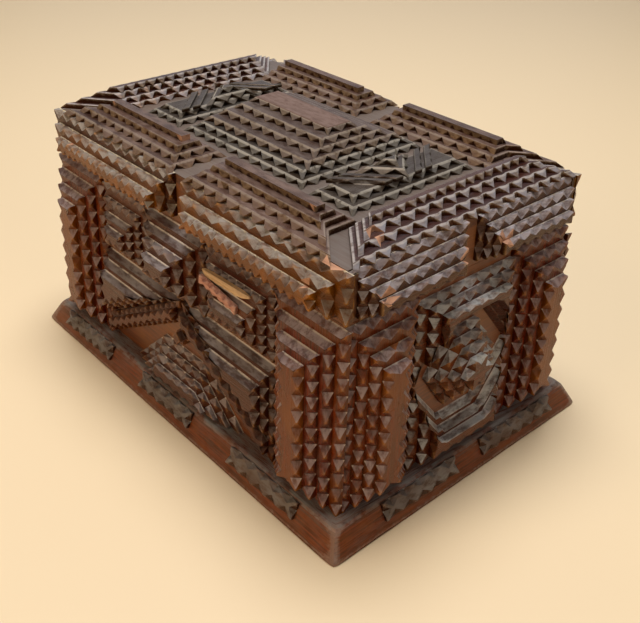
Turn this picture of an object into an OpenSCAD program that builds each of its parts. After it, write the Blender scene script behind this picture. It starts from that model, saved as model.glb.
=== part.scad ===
// Tramp art box: a plain wooden case and hinged lid, covered with layered plates whose edges
// are cut into rows of V-notches. The origin is the centre of the underside, +Z is up,
// +X runs along the length and -Y is the front.

/* [Case] */
// Outside length of the plain case
box_l = 267; // [255:1:285]
// Outside width of the plain case
box_w = 174; // [165:1:190]
// Thickness of the case and lid boards
wall_t = 6; // [5.5:0.5:8]
// Height of the joint between case and lid
joint_z = 130; // [124:1:138]
// Open joint between case and lid
lid_gap = 0.3; // [0.2:0.05:0.5]

/* [Plinth] */
// Height of the plinth board
plinth_h = 16; // [14:1:18]
// How far the plinth's sides slope in towards the top
plinth_bevel = 8; // [5:0.5:10]
// How far the plinth's foot stands out past the outermost layer
plinth_margin = 1.5; // [1:0.5:5]
// Width of the notched strips on the sloping sides
strip_w = 10; // [8:0.5:11]
// Thickness of those strips
strip_t = 2.4; // [1.5:0.1:2.6]
// Distance from a strip's upper edge to the top of the slope
strip_top = 1; // [0.5:0.1:2]
// Half of the gap between two strips in line
strip_gap = 6; // [3:1:12]
// Distance from a strip's end to the plinth's corner
strip_end = 24; // [18:1:40]

/* [Lid] */
// Height of the lid's skirt, from the joint to the underside of its board
skirt_h = 24; // [20:1:30]
// How far the fascia's top edge stays below the lid's top face
fascia_drop = 0.3; // [0.2:0.1:1]
// Half of the gap between the two halves of a fascia
fascia_gap = 5; // [3:0.5:8]

/* [Carving] */
// Thickness of one carved layer
layer_t = 4.2; // [3.6:0.1:4.6]
// Glue film under each layer
glue_t = 0.1; // [0.05:0.05:0.2]
// Spacing of the notches along an edge
tooth_pitch = 10.5; // [7:0.5:12]
// Depth of a notch
notch_d = 3.6; // [2.5:0.1:4]
// Plain stretch of edge at each corner of a plate
corner_land = 1.5; // [0.5:0.1:3]
// Gap between neighbouring stacks
stack_gap = 1; // [0.5:0.1:2]

/* [Corner stacks] */
// Width of a corner stack's first layer
pilaster_w = 52; // [48:1:54]
// Set-back of each further layer at the sides
pilaster_step = 6; // [5:0.5:6.5]
// Set-back of each further layer at the top
pilaster_top_step = 7.6; // [5:0.1:9]
// Set-back of each further layer at the foot
pilaster_foot_step = 4.3; // [2:0.1:6]
// How far the carving stays below the lid joint at the front and sides
reveal = 1; // [0.6:0.1:3]
// How much further it stays below the joint at the back, where the lid swings down
back_drop = 6; // [6:0.5:9]

/* [Front and back] */
// Width of the hanging block in the middle
pendant_w = 60; // [50:1:64]
// Height of that block
pendant_h = 47; // [42:1:48]
// Height of the six-sided bosses beside it
boss_h = 45; // [40:1:46]
// Length of a boss's flat top and bottom edges
boss_flat = 24; // [18:1:28]
// Upright width of the two sloping bands
gable_w = 15; // [12:0.5:16]
// Width of the mound on the plinth
mound_w = 108; // [90:1:116]
// Width of the mound's top edge
mound_top_w = 46; // [40:1:52]
// Height of the mound
mound_h = 29; // [25:1:31]
// Half width and half height of the small diamond under the bands
key_half = 7; // [6:0.5:8]

/* [Ends] */
// Height of the six-sided opening in an end frame
opening_h = 62; // [56:1:66]
// Length of the opening's flat top and bottom edges
opening_flat = 28; // [22:1:32]
// Width of the boss in that opening
end_boss_w = 56; // [52:1:58]
// Height of the boss in that opening
end_boss_h = 47; // [44:1:50]
// Length of that boss's flat top and bottom edges
end_boss_flat = 24; // [20:1:28]
// How far a frame's top edge stays below the neighbouring corner stacks
frame_drop = 5; // [3:0.5:8]

/* [Lid top] */
// Thickness of one carved layer on the lid's top
top_layer_t = 3.2; // [2.8:0.1:3.6]
// Width of an edge stack's first layer
edge_stack_w = 40; // [38:1:41]
// Set-back of each further layer of a long edge stack
edge_stack_step = 4.8; // [4:0.1:5]
// Half of the gap between two edge stacks in line
edge_stack_gap = 6; // [4:1:10]
// Width of an end stack's first layer
end_stack_w = 33; // [31:1:34]
// Set-back of each further layer of an end stack
end_stack_step = 3.6; // [3:0.1:4]
// How far an end stack's mitred end is cut back along its inner edge
end_stack_cut = 28; // [22:1:32]
// Width of the bare strip between the mitred ends, measured across the box
corner_bare = 13; // [10:0.5:18]
// Gap between the low terrace and the long edge stacks
terrace_gap = 3.2; // [1:0.1:6]
// Gap between the low terrace and the end stacks
terrace_end_gap = 9; // [5:0.5:12]
// Set-back of the second plate of the terrace and of the end blocks
terrace_step = 5; // [4:0.5:6]
// Set-back of the pyramid's first plate on the terrace, along its long edges
pyramid_margin = 5; // [3:0.5:7]
// Set-back of each further plate of the pyramid along its long edges
pyramid_step = 8.5; // [7:0.5:9]
// Set-back of each further plate of the pyramid along its short edges
pyramid_end_step = 4; // [3:0.5:5]
// Length along the box of the blocks at the terrace's ends
block_l = 34; // [30:1:36]
// Gap between the terrace and those blocks
block_gap = 6; // [3:0.5:8]
// Width of the slanting strips on those blocks
ladder_w = 4; // [3.5:0.1:4.4]
// Thickness of those strips
ladder_t = 2.2; // [1.8:0.1:3]

/* [Hinges] */
// Distance between the two hinges' middles
hinge_spread = 110; // [90:2:130]
// Length of a hinge
hinge_l = 26; // [20:1:34]
// Thickness of a leaf
leaf_t = 1; // [0.8:0.1:1.2]
// How far a leaf is let into the wood, from the back face
leaf_w = 4.6; // [4:0.1:5]
// Outside radius of a knuckle
knuckle_r = 2; // [1.8:0.1:2.2]
// Radius of the hinge pin
pin_r = 1; // [0.8:0.05:1.1]
// Running clearance around the pin
pin_clear = 0.05; // [0.03:0.01:0.09]
// Clearance between knuckles, and from a knuckle to the back face
knuckle_clear = 0.4; // [0.3:0.05:0.6]
// Radius of a nail's shank
nail_r = 0.6; // [0.5:0.05:0.8]
// Length of a nail
nail_l = 9; // [6:0.5:12]

/* [Hidden] */
$fn = 48;
hole_clear = 0.05;
body_layers = 4;
boss_layers = 3;
band_layers = 2;
layer_pitch = layer_t + glue_t;
half_l = box_l / 2;
half_w = box_w / 2;
wall_top = joint_z - lid_gap / 2;
lid_base = joint_z + lid_gap / 2;
board_z = lid_base + skirt_h;
lid_top = board_z + wall_t;
carving_top = wall_top - reveal;

// Plinth
foot_half_l = half_l + body_layers * layer_pitch + plinth_margin;
foot_half_w = half_w + body_layers * layer_pitch + plinth_margin;
slope_lean = atan(plinth_bevel / plinth_h);
slope_l = norm([plinth_bevel, plinth_h]);

// Corner stacks: the front and back ones lap over the ends of the side ones
front_corner = half_l + layer_pitch;
side_corner = half_w - glue_t;
side_pilaster_w = pilaster_w - layer_pitch;
side_corner_step = pilaster_step - layer_pitch / (body_layers - 1);
panel_half = front_corner - pilaster_w - stack_gap;
end_panel_half = side_corner - side_pilaster_w - stack_gap;

// Front and back panels
pendant_z = carving_top - pendant_h;
pendant_steps = [5, 6.5, 5.5, 6.5];
boss_mid_x = (pendant_w / 2 + panel_half) / 2;
boss_w = panel_half - pendant_w / 2 - 2 * stack_gap;
boss_step = 5;
band_step = 3;
fill_step = 4;
mound_steps = [3, 5.5, 5.5, 5.5];
gable_foot = plinth_h + stack_gap;
gable_apex = pendant_z - stack_gap;
gable_slope = (gable_apex - gable_foot - gable_w) / panel_half;
key_z = gable_apex - gable_w - key_half - 2 * stack_gap;

// End panels
end_mid_z = (plinth_h + carving_top) / 2;
frame_side_step = 6;
frame_top_step = 5;
end_boss_step = 4.6;

// Lid
fascia_layers = 3;
fascia_z = joint_z + knuckle_r + 1.5;
fascia_foot_step = 1;
fascia_corner_step = 8;
fascia_top_step = 7;
fascia_gap_step = 5;
top_layers = 4;
edge_outer = half_w + layer_t - 0.5;
end_outer = half_l + layer_t - 0.5;
mitre_slope = end_stack_cut / end_stack_w;
mitre_tip = end_outer - (corner_bare + half_w - edge_outer) / mitre_slope;
mitre_elbow = mitre_slope * (end_stack_w + stack_gap) - corner_bare - half_w;
edge_stack_end = end_outer - end_stack_w - stack_gap;
edge_stack_steps = [edge_stack_step, 2, 2.7, edge_stack_step, edge_stack_step];
end_stack_steps = [3, end_stack_step, 3, end_stack_step];
block_outer = end_outer - end_stack_w - terrace_end_gap;
block_inner = block_outer - block_l;
terrace_half_l = block_inner - block_gap;
terrace_half_w = edge_outer - edge_stack_w - terrace_gap;
terrace_layers = 2;
pyramid_half_l = terrace_half_l - terrace_step - 2;
pyramid_half_w = terrace_half_w - terrace_step - pyramid_margin;
pyramid_steps = [pyramid_step, pyramid_end_step, pyramid_step, pyramid_end_step];
pyramid_layers = 4;
diamond_x = block_inner + terrace_step + 1;
diamond_h = block_l - 2 * terrace_step - 2;
diamond_layers = 2;
diamond_step = 5.5;
ladder_gap = 3.2;
ladder_notch = 1.8;
ladder_pitch = ladder_w + 1.8;

// Hinges
hinge_y = half_w + knuckle_r + knuckle_clear;
nail_y = half_w - leaf_w / 2;
nail_head_t = leaf_t / 2;
nail_spread = hinge_l * 0.6;

// Outlines: lists of corners, counter-clockwise
function box_outline(x0, x1, y0, y1) = [[x0, y0], [x1, y0], [x1, y1], [x0, y1]];
function hexagon_outline(x, y, w, h, flat) = [
    [x - flat / 2, y - h / 2], [x + flat / 2, y - h / 2], [x + w / 2, y],
    [x + flat / 2, y + h / 2], [x - flat / 2, y + h / 2], [x - w / 2, y]
];
function diamond_outline(x, y, w, h) = [[x, y - h / 2], [x + w / 2, y], [x, y + h / 2], [x - w / 2, y]];
function flipped(outline) = [for (i = [len(outline) - 1 : -1 : 0]) [-outline[i].x, outline[i].y]];
function all_edges(outline, step) = [for (corner = outline) step];
function strip_outline(half_run) =
    box_outline(strip_gap, half_run - strip_end, slope_l - strip_w - strip_top, slope_l - strip_top);
function boss_outline(drop) =
    hexagon_outline(boss_mid_x, carving_top - stack_gap - (boss_h + drop) / 2, boss_w, boss_h - drop,
                    boss_flat);
function fill_outline() =
    let (low = gable_foot + gable_w + stack_gap, high = gable_apex - stack_gap)
    [[-panel_half, high], [-panel_half, low], [-panel_half + (high - low) / gable_slope, high]];
key_outline = diamond_outline(0, key_z, 2 * key_half, 2 * key_half);
edge_stack_outline = [
    [edge_stack_gap, -edge_outer], [mitre_tip, -edge_outer], [edge_stack_end, mitre_elbow],
    [edge_stack_end, edge_stack_w - edge_outer], [edge_stack_gap, edge_stack_w - edge_outer]
];
end_stack_outline = [
    [end_outer - end_stack_w, end_stack_cut - half_w], [end_outer, -half_w], [end_outer, half_w],
    [end_outer - end_stack_w, half_w - end_stack_cut]
];
terrace_outline = box_outline(-terrace_half_l, terrace_half_l, -terrace_half_w, terrace_half_w);
pyramid_outline = box_outline(-pyramid_half_l, pyramid_half_l, -pyramid_half_w, pyramid_half_w);
block_outline = box_outline(block_inner, block_outer, -terrace_half_w, terrace_half_w);
half_diamond = [[diamond_x, -diamond_h], [diamond_x + diamond_h, 0], [diamond_x, diamond_h]];
function ladder_outline(away) =
    let (near = away * sqrt(2), far = (away + ladder_w) * sqrt(2))
    [[diamond_x, diamond_h + near], [diamond_x + diamond_h, near], [diamond_x + diamond_h, far],
     [diamond_x, diamond_h + far]];
end_boss_outline = hexagon_outline(0, end_mid_z, end_boss_w, end_boss_h, end_boss_flat);

// An outline moved inwards, each edge by its own amount
function unit(v) = v / norm(v);
function inward(v) = [-v.y, v.x];
function meet(p, d, q, e) = p + d * cross(q - p, e) / cross(d, e);
function inset(outline, by) = let (n = len(outline)) [
    for (i = [0 : n - 1])
        let (before = (i + n - 1) % n, after = (i + 1) % n)
        let (d = unit(outline[i] - outline[before]), e = unit(outline[after] - outline[i]))
        meet(outline[before] + inward(d) * by[before], d, outline[i] + inward(e) * by[i], e)
];

// Plain stretch at a corner between the directions d and e: longer where the corner is sharp
function land(d, e) =
    let (half_angle = (180 - acos(max(-1, min(1, d * e)))) / 2)
    cross(d, e) < 0 ? corner_land : max(corner_land, notch_d / tan(half_angle) - tooth_pitch / 2 + 0.8);

// An edge from a to b as corner points, with a row of V-notches where it is carved
function carved_edge(a, b, land_a, land_b, depth) =
    let (run = norm(b - a) - land_a - land_b)
    let (count = floor(run / tooth_pitch + 0.5))
    let (along = unit(b - a), root = inward(along) * depth)
    count < 1 ? [a] : [
        a,
        for (k = [0 : count - 1])
            let (start = a + along * (land_a + k * run / count))
            each [start, start + along * run / count / 2 + root],
        b - along * land_b
    ];
function carved_outline(outline, steps, depth = notch_d) = let (n = len(outline)) [
    for (i = [0 : n - 1])
        let (a = outline[i], b = outline[(i + 1) % n])
        let (before = unit(a - outline[(i + n - 1) % n]), along = unit(b - a))
        let (after = unit(outline[(i + 2) % n] - b))
        each steps[i] > 0 ? carved_edge(a, b, land(before, along), land(along, after), depth) : [a]
];

// A stack of carved layers on the XY plane: an edge with a set-back is carved, one without is plain
module stack(outline, steps, layers, first = 0, thick = layer_t)
    for (i = [0 : layers - 1])
        translate([0, 0, glue_t + (first + i) * (thick + glue_t)])
            linear_extrude(thick) polygon(carved_outline(inset(outline, steps * i), steps));

// Stands a flat stack against a side face: 0 front, 90 right, 180 back, 270 left
module on_face(turn, reach)
    rotate([0, 0, turn]) translate([0, -reach, 0]) rotate([90, 0, 0]) children();

module on_lid() translate([0, 0, lid_top]) children();

module lid_stack(outline, steps, layers, first = 0) stack(outline, steps, layers, first, top_layer_t);

module dark_wood() color("#4a2115") children();
module bare_wood() color("#6b3a20") children();
module plinth_wood() color("#4b2b2a") children();
module brass() color("#a08040") children();

// Plinth and plain case
module sloping_run(half_run, half_width)
    translate([-half_run, 0, 0]) rotate([90, 0, 90]) linear_extrude(2 * half_run)
        polygon([[-half_width, 0], [half_width, 0], [half_width - plinth_bevel, plinth_h],
                 [plinth_bevel - half_width, plinth_h]]);

module base_board() plinth_wood() intersection() {
    sloping_run(foot_half_l, foot_half_w);
    rotate([0, 0, 90]) sloping_run(foot_half_w, foot_half_l);
}

module sloping_strips(turn, reach, half_run)
    rotate([0, 0, turn]) translate([0, -reach, 0]) rotate([90 - slope_lean, 0, 0])
        for (side = [strip_outline(half_run), flipped(strip_outline(half_run))])
            translate([0, 0, glue_t]) linear_extrude(strip_t)
                polygon(carved_outline(side, all_edges(side, 1)));

module plinth_strips() plinth_wood() {
    sloping_strips(0, foot_half_w, foot_half_l);
    sloping_strips(180, foot_half_w, foot_half_l);
    sloping_strips(90, foot_half_l, foot_half_w);
    sloping_strips(270, foot_half_l, foot_half_w);
}

module long_wall(z0, z1) translate([-half_l, -half_w, z0]) cube([box_l, wall_t, z1 - z0]);
module short_wall(z0, z1)
    translate([half_l - wall_t, wall_t - half_w, z0]) cube([wall_t, box_w - 2 * wall_t, z1 - z0]);

module front_wall() bare_wood() long_wall(plinth_h, wall_top);
module right_wall() bare_wood() short_wall(plinth_h, wall_top);
module left_wall() bare_wood() mirror([1, 0, 0]) short_wall(plinth_h, wall_top);
module back_wall() bare_wood() difference() {
    mirror([0, 1, 0]) long_wall(plinth_h, wall_top);
    hinge_cuts();
}
module hinge_cuts()
    for (side = [-1, 1]) at_hinge(side) {
        leaf_recess(wall_top - leaf_t);
        nail_holes();
    }

// Corner stacks
module pilaster(width, corner, corner_step, top, side)
    stack_beside(box_outline(corner - width, corner, plinth_h, top),
                 [pilaster_foot_step, corner_step, pilaster_top_step, pilaster_step], side, body_layers);

module stack_beside(outline, steps, side, layers)
    dark_wood() mirror([side < 0 ? 1 : 0, 0, 0]) stack(outline, steps, layers);

module long_pilaster(turn, side, top)
    on_face(turn, half_w) pilaster(pilaster_w, front_corner, pilaster_step, top, side);
module short_pilaster(turn, side)
    on_face(turn, half_l) pilaster(side_pilaster_w, side_corner, side_corner_step, carving_top, side);

module front_left_pilaster() long_pilaster(0, -1, carving_top);
module front_right_pilaster() long_pilaster(0, 1, carving_top);
module back_left_pilaster() long_pilaster(180, 1, carving_top - back_drop);
module back_right_pilaster() long_pilaster(180, -1, carving_top - back_drop);
module left_front_pilaster() short_pilaster(270, 1);
module left_back_pilaster() short_pilaster(270, -1);
module right_front_pilaster() short_pilaster(90, -1);
module right_back_pilaster() short_pilaster(90, 1);

// Front and back panels
module pendant(turn, top, layers)
    on_face(turn, half_w) dark_wood()
        stack(box_outline(-pendant_w / 2, pendant_w / 2, pendant_z, top), pendant_steps, layers);

module boss(turn, side, drop)
    on_face(turn, half_w)
        stack_beside(boss_outline(drop), all_edges(boss_outline(drop), boss_step), side, boss_layers);

module fill(turn, side)
    on_face(turn, half_w)
        stack_beside(fill_outline(), all_edges(fill_outline(), fill_step), -side, boss_layers);

module gable(turn)
    on_face(turn, half_w) {
        for (side = [-1, 1])
            stack_beside([[stack_gap, gable_apex - gable_w], [panel_half, gable_foot],
                          [panel_half, gable_foot + gable_w], [stack_gap, gable_apex]],
                         [band_step, band_step, band_step, band_step], side, band_layers);
        stack_beside(key_outline, all_edges(key_outline, 2), 1, band_layers);
    }

module mound(turn)
    on_face(turn, half_w) dark_wood()
        stack([[-mound_w / 2, plinth_h], [mound_w / 2, plinth_h], [mound_top_w / 2, plinth_h + mound_h],
               [-mound_top_w / 2, plinth_h + mound_h]], mound_steps, boss_layers);

module front_pendant() pendant(0, carving_top, body_layers);
module front_left_boss() boss(0, -1, 0);
module front_right_boss() boss(0, 1, 0);
module front_left_fill() fill(0, -1);
module front_right_fill() fill(0, 1);
module front_gable() gable(0);
module front_mound() mound(0);
module back_pendant() pendant(180, carving_top - back_drop, body_layers - 1);
module back_left_boss() boss(180, 1, back_drop);
module back_right_boss() boss(180, -1, back_drop);
module back_left_fill() fill(180, 1);
module back_right_fill() fill(180, -1);
module back_gable() gable(180);
module back_mound() mound(180);

// End panels: two half frames around a six-sided opening, and a boss in it
module half_frame(height)
    stack([[-end_panel_half, stack_gap], [-opening_flat / 2, opening_h / 2],
           [opening_flat / 2, opening_h / 2], [end_panel_half, stack_gap],
           [end_panel_half, height], [-end_panel_half, height]],
          [0, 0, 0, frame_side_step, frame_top_step, frame_side_step], boss_layers);

module end_frame(turn)
    on_face(turn, half_l) dark_wood() translate([0, end_mid_z, 0]) {
        half_frame(carving_top - frame_drop - end_mid_z);
        mirror([0, 1, 0]) half_frame(end_mid_z - plinth_h);
    }

module end_boss(turn)
    on_face(turn, half_l) dark_wood()
        stack(end_boss_outline, all_edges(end_boss_outline, end_boss_step), body_layers);

module left_frame() end_frame(270);
module left_boss() end_boss(270);
module right_frame() end_frame(90);
module right_boss() end_boss(90);

// Hinges: a lower leaf with two knuckles, an upper leaf with one, a pin and nails
module leaf_recess(z)
    translate([-hinge_l / 2 - hole_clear, half_w - leaf_w - hole_clear, z])
        cube([hinge_l + 2 * hole_clear, leaf_w + 2 * hole_clear + 1, leaf_t + 1]);

module at_nails()
    for (x = [-1, 1] * nail_spread / 2) translate([x, nail_y, wall_top]) children();

module nail(extra)
    translate([0, 0, -nail_head_t]) {
        cylinder(r = 2 * nail_r + extra, h = nail_head_t);
        translate([0, 0, nail_head_t - nail_l - extra])
            cylinder(r = nail_r + extra, h = nail_l + extra - nail_head_t / 2);
    }

module nail_holes() at_nails() nail(hole_clear);

module hinge_axis(x0, x1, r)
    translate([x0, hinge_y, joint_z]) rotate([0, 90, 0]) cylinder(r = r, h = x1 - x0);

module leaf(segments) brass() difference() {
    union() {
        translate([-hinge_l / 2, half_w - leaf_w, wall_top - leaf_t]) cube([hinge_l, leaf_w, leaf_t]);
        for (s = segments) {
            hinge_axis(s[0], s[1], knuckle_r);
            translate([s[0], half_w - leaf_w / 2, wall_top - leaf_t])
                cube([s[1] - s[0], hinge_y - half_w + leaf_w / 2, leaf_t]);
        }
    }
    hinge_axis(-hinge_l, hinge_l, pin_r + pin_clear);
    nail_holes();
}

module above_joint() translate([0, 0, 2 * joint_z]) mirror([0, 0, 1]) children();
module at_hinge(side) translate([side * hinge_spread / 2, 0, 0]) children();

outer_knuckles = [[-hinge_l / 2, -hinge_l / 6 - knuckle_clear / 2],
                  [hinge_l / 6 + knuckle_clear / 2, hinge_l / 2]];
middle_knuckle = [[knuckle_clear / 2 - hinge_l / 6, hinge_l / 6 - knuckle_clear / 2]];

module left_hinge_lower_leaf() at_hinge(-1) leaf(outer_knuckles);
module right_hinge_lower_leaf() at_hinge(1) leaf(outer_knuckles);
module left_hinge_upper_leaf() at_hinge(-1) above_joint() leaf(middle_knuckle);
module right_hinge_upper_leaf() at_hinge(1) above_joint() leaf(middle_knuckle);
module left_hinge_pin() brass() at_hinge(-1) hinge_axis(-hinge_l / 2, hinge_l / 2, pin_r);
module right_hinge_pin() brass() at_hinge(1) hinge_axis(-hinge_l / 2, hinge_l / 2, pin_r);
module case_hinge_nails() brass() for (side = [-1, 1]) at_hinge(side) at_nails() nail(0);
module lid_hinge_nails() above_joint() case_hinge_nails();

// Lid
module lid_board() bare_wood() translate([-half_l, -half_w, board_z]) cube([box_l, box_w, wall_t]);
module lid_front_rim() bare_wood() long_wall(lid_base, board_z);
module lid_right_rim() bare_wood() short_wall(lid_base, board_z);
module lid_left_rim() bare_wood() mirror([1, 0, 0]) short_wall(lid_base, board_z);
module lid_back_rim() bare_wood() difference() {
    mirror([0, 1, 0]) long_wall(lid_base, board_z);
    above_joint() hinge_cuts();
}

module fascia(turn, reach, corner, corner_step)
    on_face(turn, reach)
        for (side = [-1, 1])
            stack_beside(box_outline(fascia_gap, corner, fascia_z, lid_top - fascia_drop),
                         [fascia_foot_step, corner_step, fascia_top_step, fascia_gap_step], side,
                         fascia_layers);

module lid_front_fascia() fascia(0, half_w, front_corner, fascia_corner_step);
module lid_back_fascia() fascia(180, half_w, front_corner, fascia_corner_step);
module lid_right_fascia() fascia(90, half_l, side_corner, fascia_corner_step - layer_pitch / 2);
module lid_left_fascia() fascia(270, half_l, side_corner, fascia_corner_step - layer_pitch / 2);

module lid_side(side) on_lid() mirror([side < 0 ? 1 : 0, 0, 0]) children();

module edge_stack(turn, side)
    rotate([0, 0, turn]) lid_side(side) dark_wood()
        lid_stack(edge_stack_outline, edge_stack_steps, top_layers);

module end_stack(side)
    lid_side(side) dark_wood() lid_stack(end_stack_outline, end_stack_steps, top_layers);

module block(side)
    lid_side(side) dark_wood()
        lid_stack(block_outline, all_edges(block_outline, terrace_step), terrace_layers);

// The half diamond on an end block, with two thin slanting strips on each side of it
module diamond(side)
    lid_side(side) dark_wood() {
        lid_stack(half_diamond, [diamond_step, diamond_step, 0], diamond_layers, terrace_layers);
        translate([0, 0, terrace_layers * (top_layer_t + glue_t) + glue_t])
            for (half = [0, 1], i = [0, 1])
                let (strip = ladder_outline(ladder_gap + i * ladder_pitch))
                mirror([0, half, 0]) linear_extrude(ladder_t)
                    polygon(carved_outline(strip, [0, 0, 1, 0], ladder_notch));
    }

module lid_front_left_stack() edge_stack(0, -1);
module lid_front_right_stack() edge_stack(0, 1);
module lid_back_left_stack() edge_stack(180, 1);
module lid_back_right_stack() edge_stack(180, -1);
module lid_left_stack() end_stack(-1);
module lid_right_stack() end_stack(1);
module lid_left_block() block(-1);
module lid_right_block() block(1);
module lid_left_diamond() diamond(-1);
module lid_right_diamond() diamond(1);

module lid_terrace()
    on_lid() dark_wood() lid_stack(terrace_outline, all_edges(terrace_outline, terrace_step), terrace_layers);

module lid_pyramid()
    on_lid() bare_wood() lid_stack(pyramid_outline, pyramid_steps, pyramid_layers, terrace_layers);

base_board();
plinth_strips();
front_wall();
back_wall();
left_wall();
right_wall();
front_left_pilaster();
front_right_pilaster();
back_left_pilaster();
back_right_pilaster();
left_front_pilaster();
left_back_pilaster();
right_front_pilaster();
right_back_pilaster();
front_pendant();
front_left_boss();
front_right_boss();
front_left_fill();
front_right_fill();
front_gable();
front_mound();
back_pendant();
back_left_boss();
back_right_boss();
back_left_fill();
back_right_fill();
back_gable();
back_mound();
left_frame();
left_boss();
right_frame();
right_boss();
left_hinge_lower_leaf();
right_hinge_lower_leaf();
left_hinge_pin();
right_hinge_pin();
case_hinge_nails();
lid_board();
lid_front_rim();
lid_back_rim();
lid_left_rim();
lid_right_rim();
lid_front_fascia();
lid_back_fascia();
lid_left_fascia();
lid_right_fascia();
lid_front_left_stack();
lid_front_right_stack();
lid_back_left_stack();
lid_back_right_stack();
lid_left_stack();
lid_right_stack();
lid_terrace();
lid_pyramid();
lid_left_block();
lid_right_block();
lid_left_diamond();
lid_right_diamond();
left_hinge_upper_leaf();
right_hinge_upper_leaf();
lid_hinge_nails();
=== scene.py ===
"""Tramp art box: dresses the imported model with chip-carved layers of old varnished wood."""
import bpy
import numpy as np
from mathutils import Matrix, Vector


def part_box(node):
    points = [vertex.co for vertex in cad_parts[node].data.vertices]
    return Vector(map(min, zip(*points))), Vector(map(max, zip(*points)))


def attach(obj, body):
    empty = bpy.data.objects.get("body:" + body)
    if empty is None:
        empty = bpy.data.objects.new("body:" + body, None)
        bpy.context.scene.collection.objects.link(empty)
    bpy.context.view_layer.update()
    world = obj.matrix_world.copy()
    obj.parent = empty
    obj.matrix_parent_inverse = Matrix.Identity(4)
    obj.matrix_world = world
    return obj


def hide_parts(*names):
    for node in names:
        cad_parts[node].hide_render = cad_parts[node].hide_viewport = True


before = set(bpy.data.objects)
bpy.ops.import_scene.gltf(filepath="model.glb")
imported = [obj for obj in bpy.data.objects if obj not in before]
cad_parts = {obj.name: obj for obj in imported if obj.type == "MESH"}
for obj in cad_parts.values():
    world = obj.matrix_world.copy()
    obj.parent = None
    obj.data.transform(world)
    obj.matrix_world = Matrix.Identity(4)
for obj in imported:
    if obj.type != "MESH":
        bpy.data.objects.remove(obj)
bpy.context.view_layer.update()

# A millimetre in metres, and sizes in millimetres
MM = 0.001
LAYER = 4.2
TOP_LAYER = 3.2
GLUE = 0.1
STACK_GAP = 1.0
THIN_STRIP = 2.2
TOOTH_PITCH = 10.4
NOTCH_DEPTH = 3.8
CORNER_LAND = 1.2
ROOTS_APART = 0.8
SLOPE_END = 2.0
ARRIS = 0.36

# How many notch depths inside a plate's edge these lie: the straight lip of an undercut plate, its lip where
# a wide root cuts into it, and a sloping edge
LIP = 0.8
CUT_LIP = 1.1
SLOPE_IN = 0.7

# On a plate that is thin across, the most of its width that a notch takes, and that the plain ring stands in
NOTCH_SHARE = 0.36
RING_SHARE = 0.45

# Hand cutting: how far marks wander in pitches and roots in depths, tips worn in millimetres, the share
# broken off and by how much, and each plate's spread of pitch, turn in degrees and slip in millimetres
MARK_WANDER = 0.035
ROOT_WANDER = 0.07
TIP_WEAR = 0.16
BROKEN_TIPS = 0.035
BREAK = (0.6, 1.6)
PITCH_SPREAD = (0.93, 1.05)
PLATE_TURN = 0.2
PLATE_SLIP = 0.15

# The kinds of edge on a plate
PLAIN, NOTCHED, SLOPING = 0, 1, 2

LONG_SIDES = ("front", "back")
ENDS = ("left", "right")
EVEN = (1.0,) * 4

# Each face as three directions: along it, up it, and out of it
FACES = {
    "front": np.array([[1, 0, 0], [0, 0, 1], [0, -1, 0]], float),
    "right": np.array([[0, 1, 0], [0, 0, 1], [1, 0, 0]], float),
    "back": np.array([[-1, 0, 0], [0, 0, 1], [0, 1, 0]], float),
    "left": np.array([[0, -1, 0], [0, 0, 1], [-1, 0, 0]], float),
    "top": np.array([[1, 0, 0], [0, 1, 0], [0, 0, 1]], float),
}


def seeded(name):
    """A random source of its own for each piece, from the letters of its name."""
    return np.random.default_rng([ord(letter) for letter in name])


def node_box(node, face):
    """The CAD node's lowest and highest corners in millimetres, along the face's three directions."""
    corners = np.array(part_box(node)) / MM @ FACES[face].T
    return corners.min(0), corners.max(0)


def face_plane(face):
    """How far out the plain board behind a face's carving stands, in millimetres."""
    board = "lid_board" if face == "top" else face + "_wall"
    return node_box(board, face)[1][2]


# Outlines

def rectangle(low, high):
    """The four corners of an upright rectangle, counter-clockwise from the lower left."""
    return np.array([[low[0], low[1]], [high[0], low[1]], [high[0], high[1]], [low[0], high[1]]])


def hexagon(low, high, flat):
    """A hexagon with points at the left and right, and flat top and bottom edges of the given length."""
    x, y = (np.asarray(low[:2]) + np.asarray(high[:2])) / 2
    return np.array([[x - flat / 2, low[1]], [x + flat / 2, low[1]], [high[0], y],
                     [x + flat / 2, high[1]], [x - flat / 2, high[1]], [low[0], y]])


def diamond(low, high):
    """The middles of a rectangle's four sides, counter-clockwise from the bottom."""
    x, y = (np.asarray(low[:2]) + np.asarray(high[:2])) / 2
    return np.array([[x, low[1]], [high[0], y], [x, high[1]], [low[0], y]])


def mirrored(outline):
    """The outline turned over left to right, still counter-clockwise."""
    return outline[::-1] * np.array([-1.0, 1.0])


def mirrored_steps(steps):
    """The steps of a mirrored outline: edge j of it was edge n - 2 - j."""
    return np.roll(np.asarray(steps, float)[::-1], -1)


def cross(a, b):
    """The plane cross product, a.x b.y - a.y b.x."""
    return a[..., 0] * b[..., 1] - a[..., 1] * b[..., 0]


def edge_directions(outline):
    """Unit vectors along each edge and into the plate, and the edges' lengths."""
    run = np.roll(outline, -1, 0) - outline
    length = np.linalg.norm(run, axis=1)
    along = run / length[:, None]
    inward = np.stack([-along[:, 1], along[:, 0]], 1)
    return along, inward, length


def inset(outline, by):
    """Each edge moved in by its own amount; a corner is where its two moved edges meet,
    p + d * cross(q - p, e) / cross(d, e)."""
    along, inward, _ = edge_directions(outline)
    moved = outline + inward * np.asarray(by, float)[:, None]
    before = np.roll(moved, 1, 0)
    direction = np.roll(along, 1, 0)
    reach = cross(moved - before, along) / cross(direction, along)
    return before + direction * reach[:, None]


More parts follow.
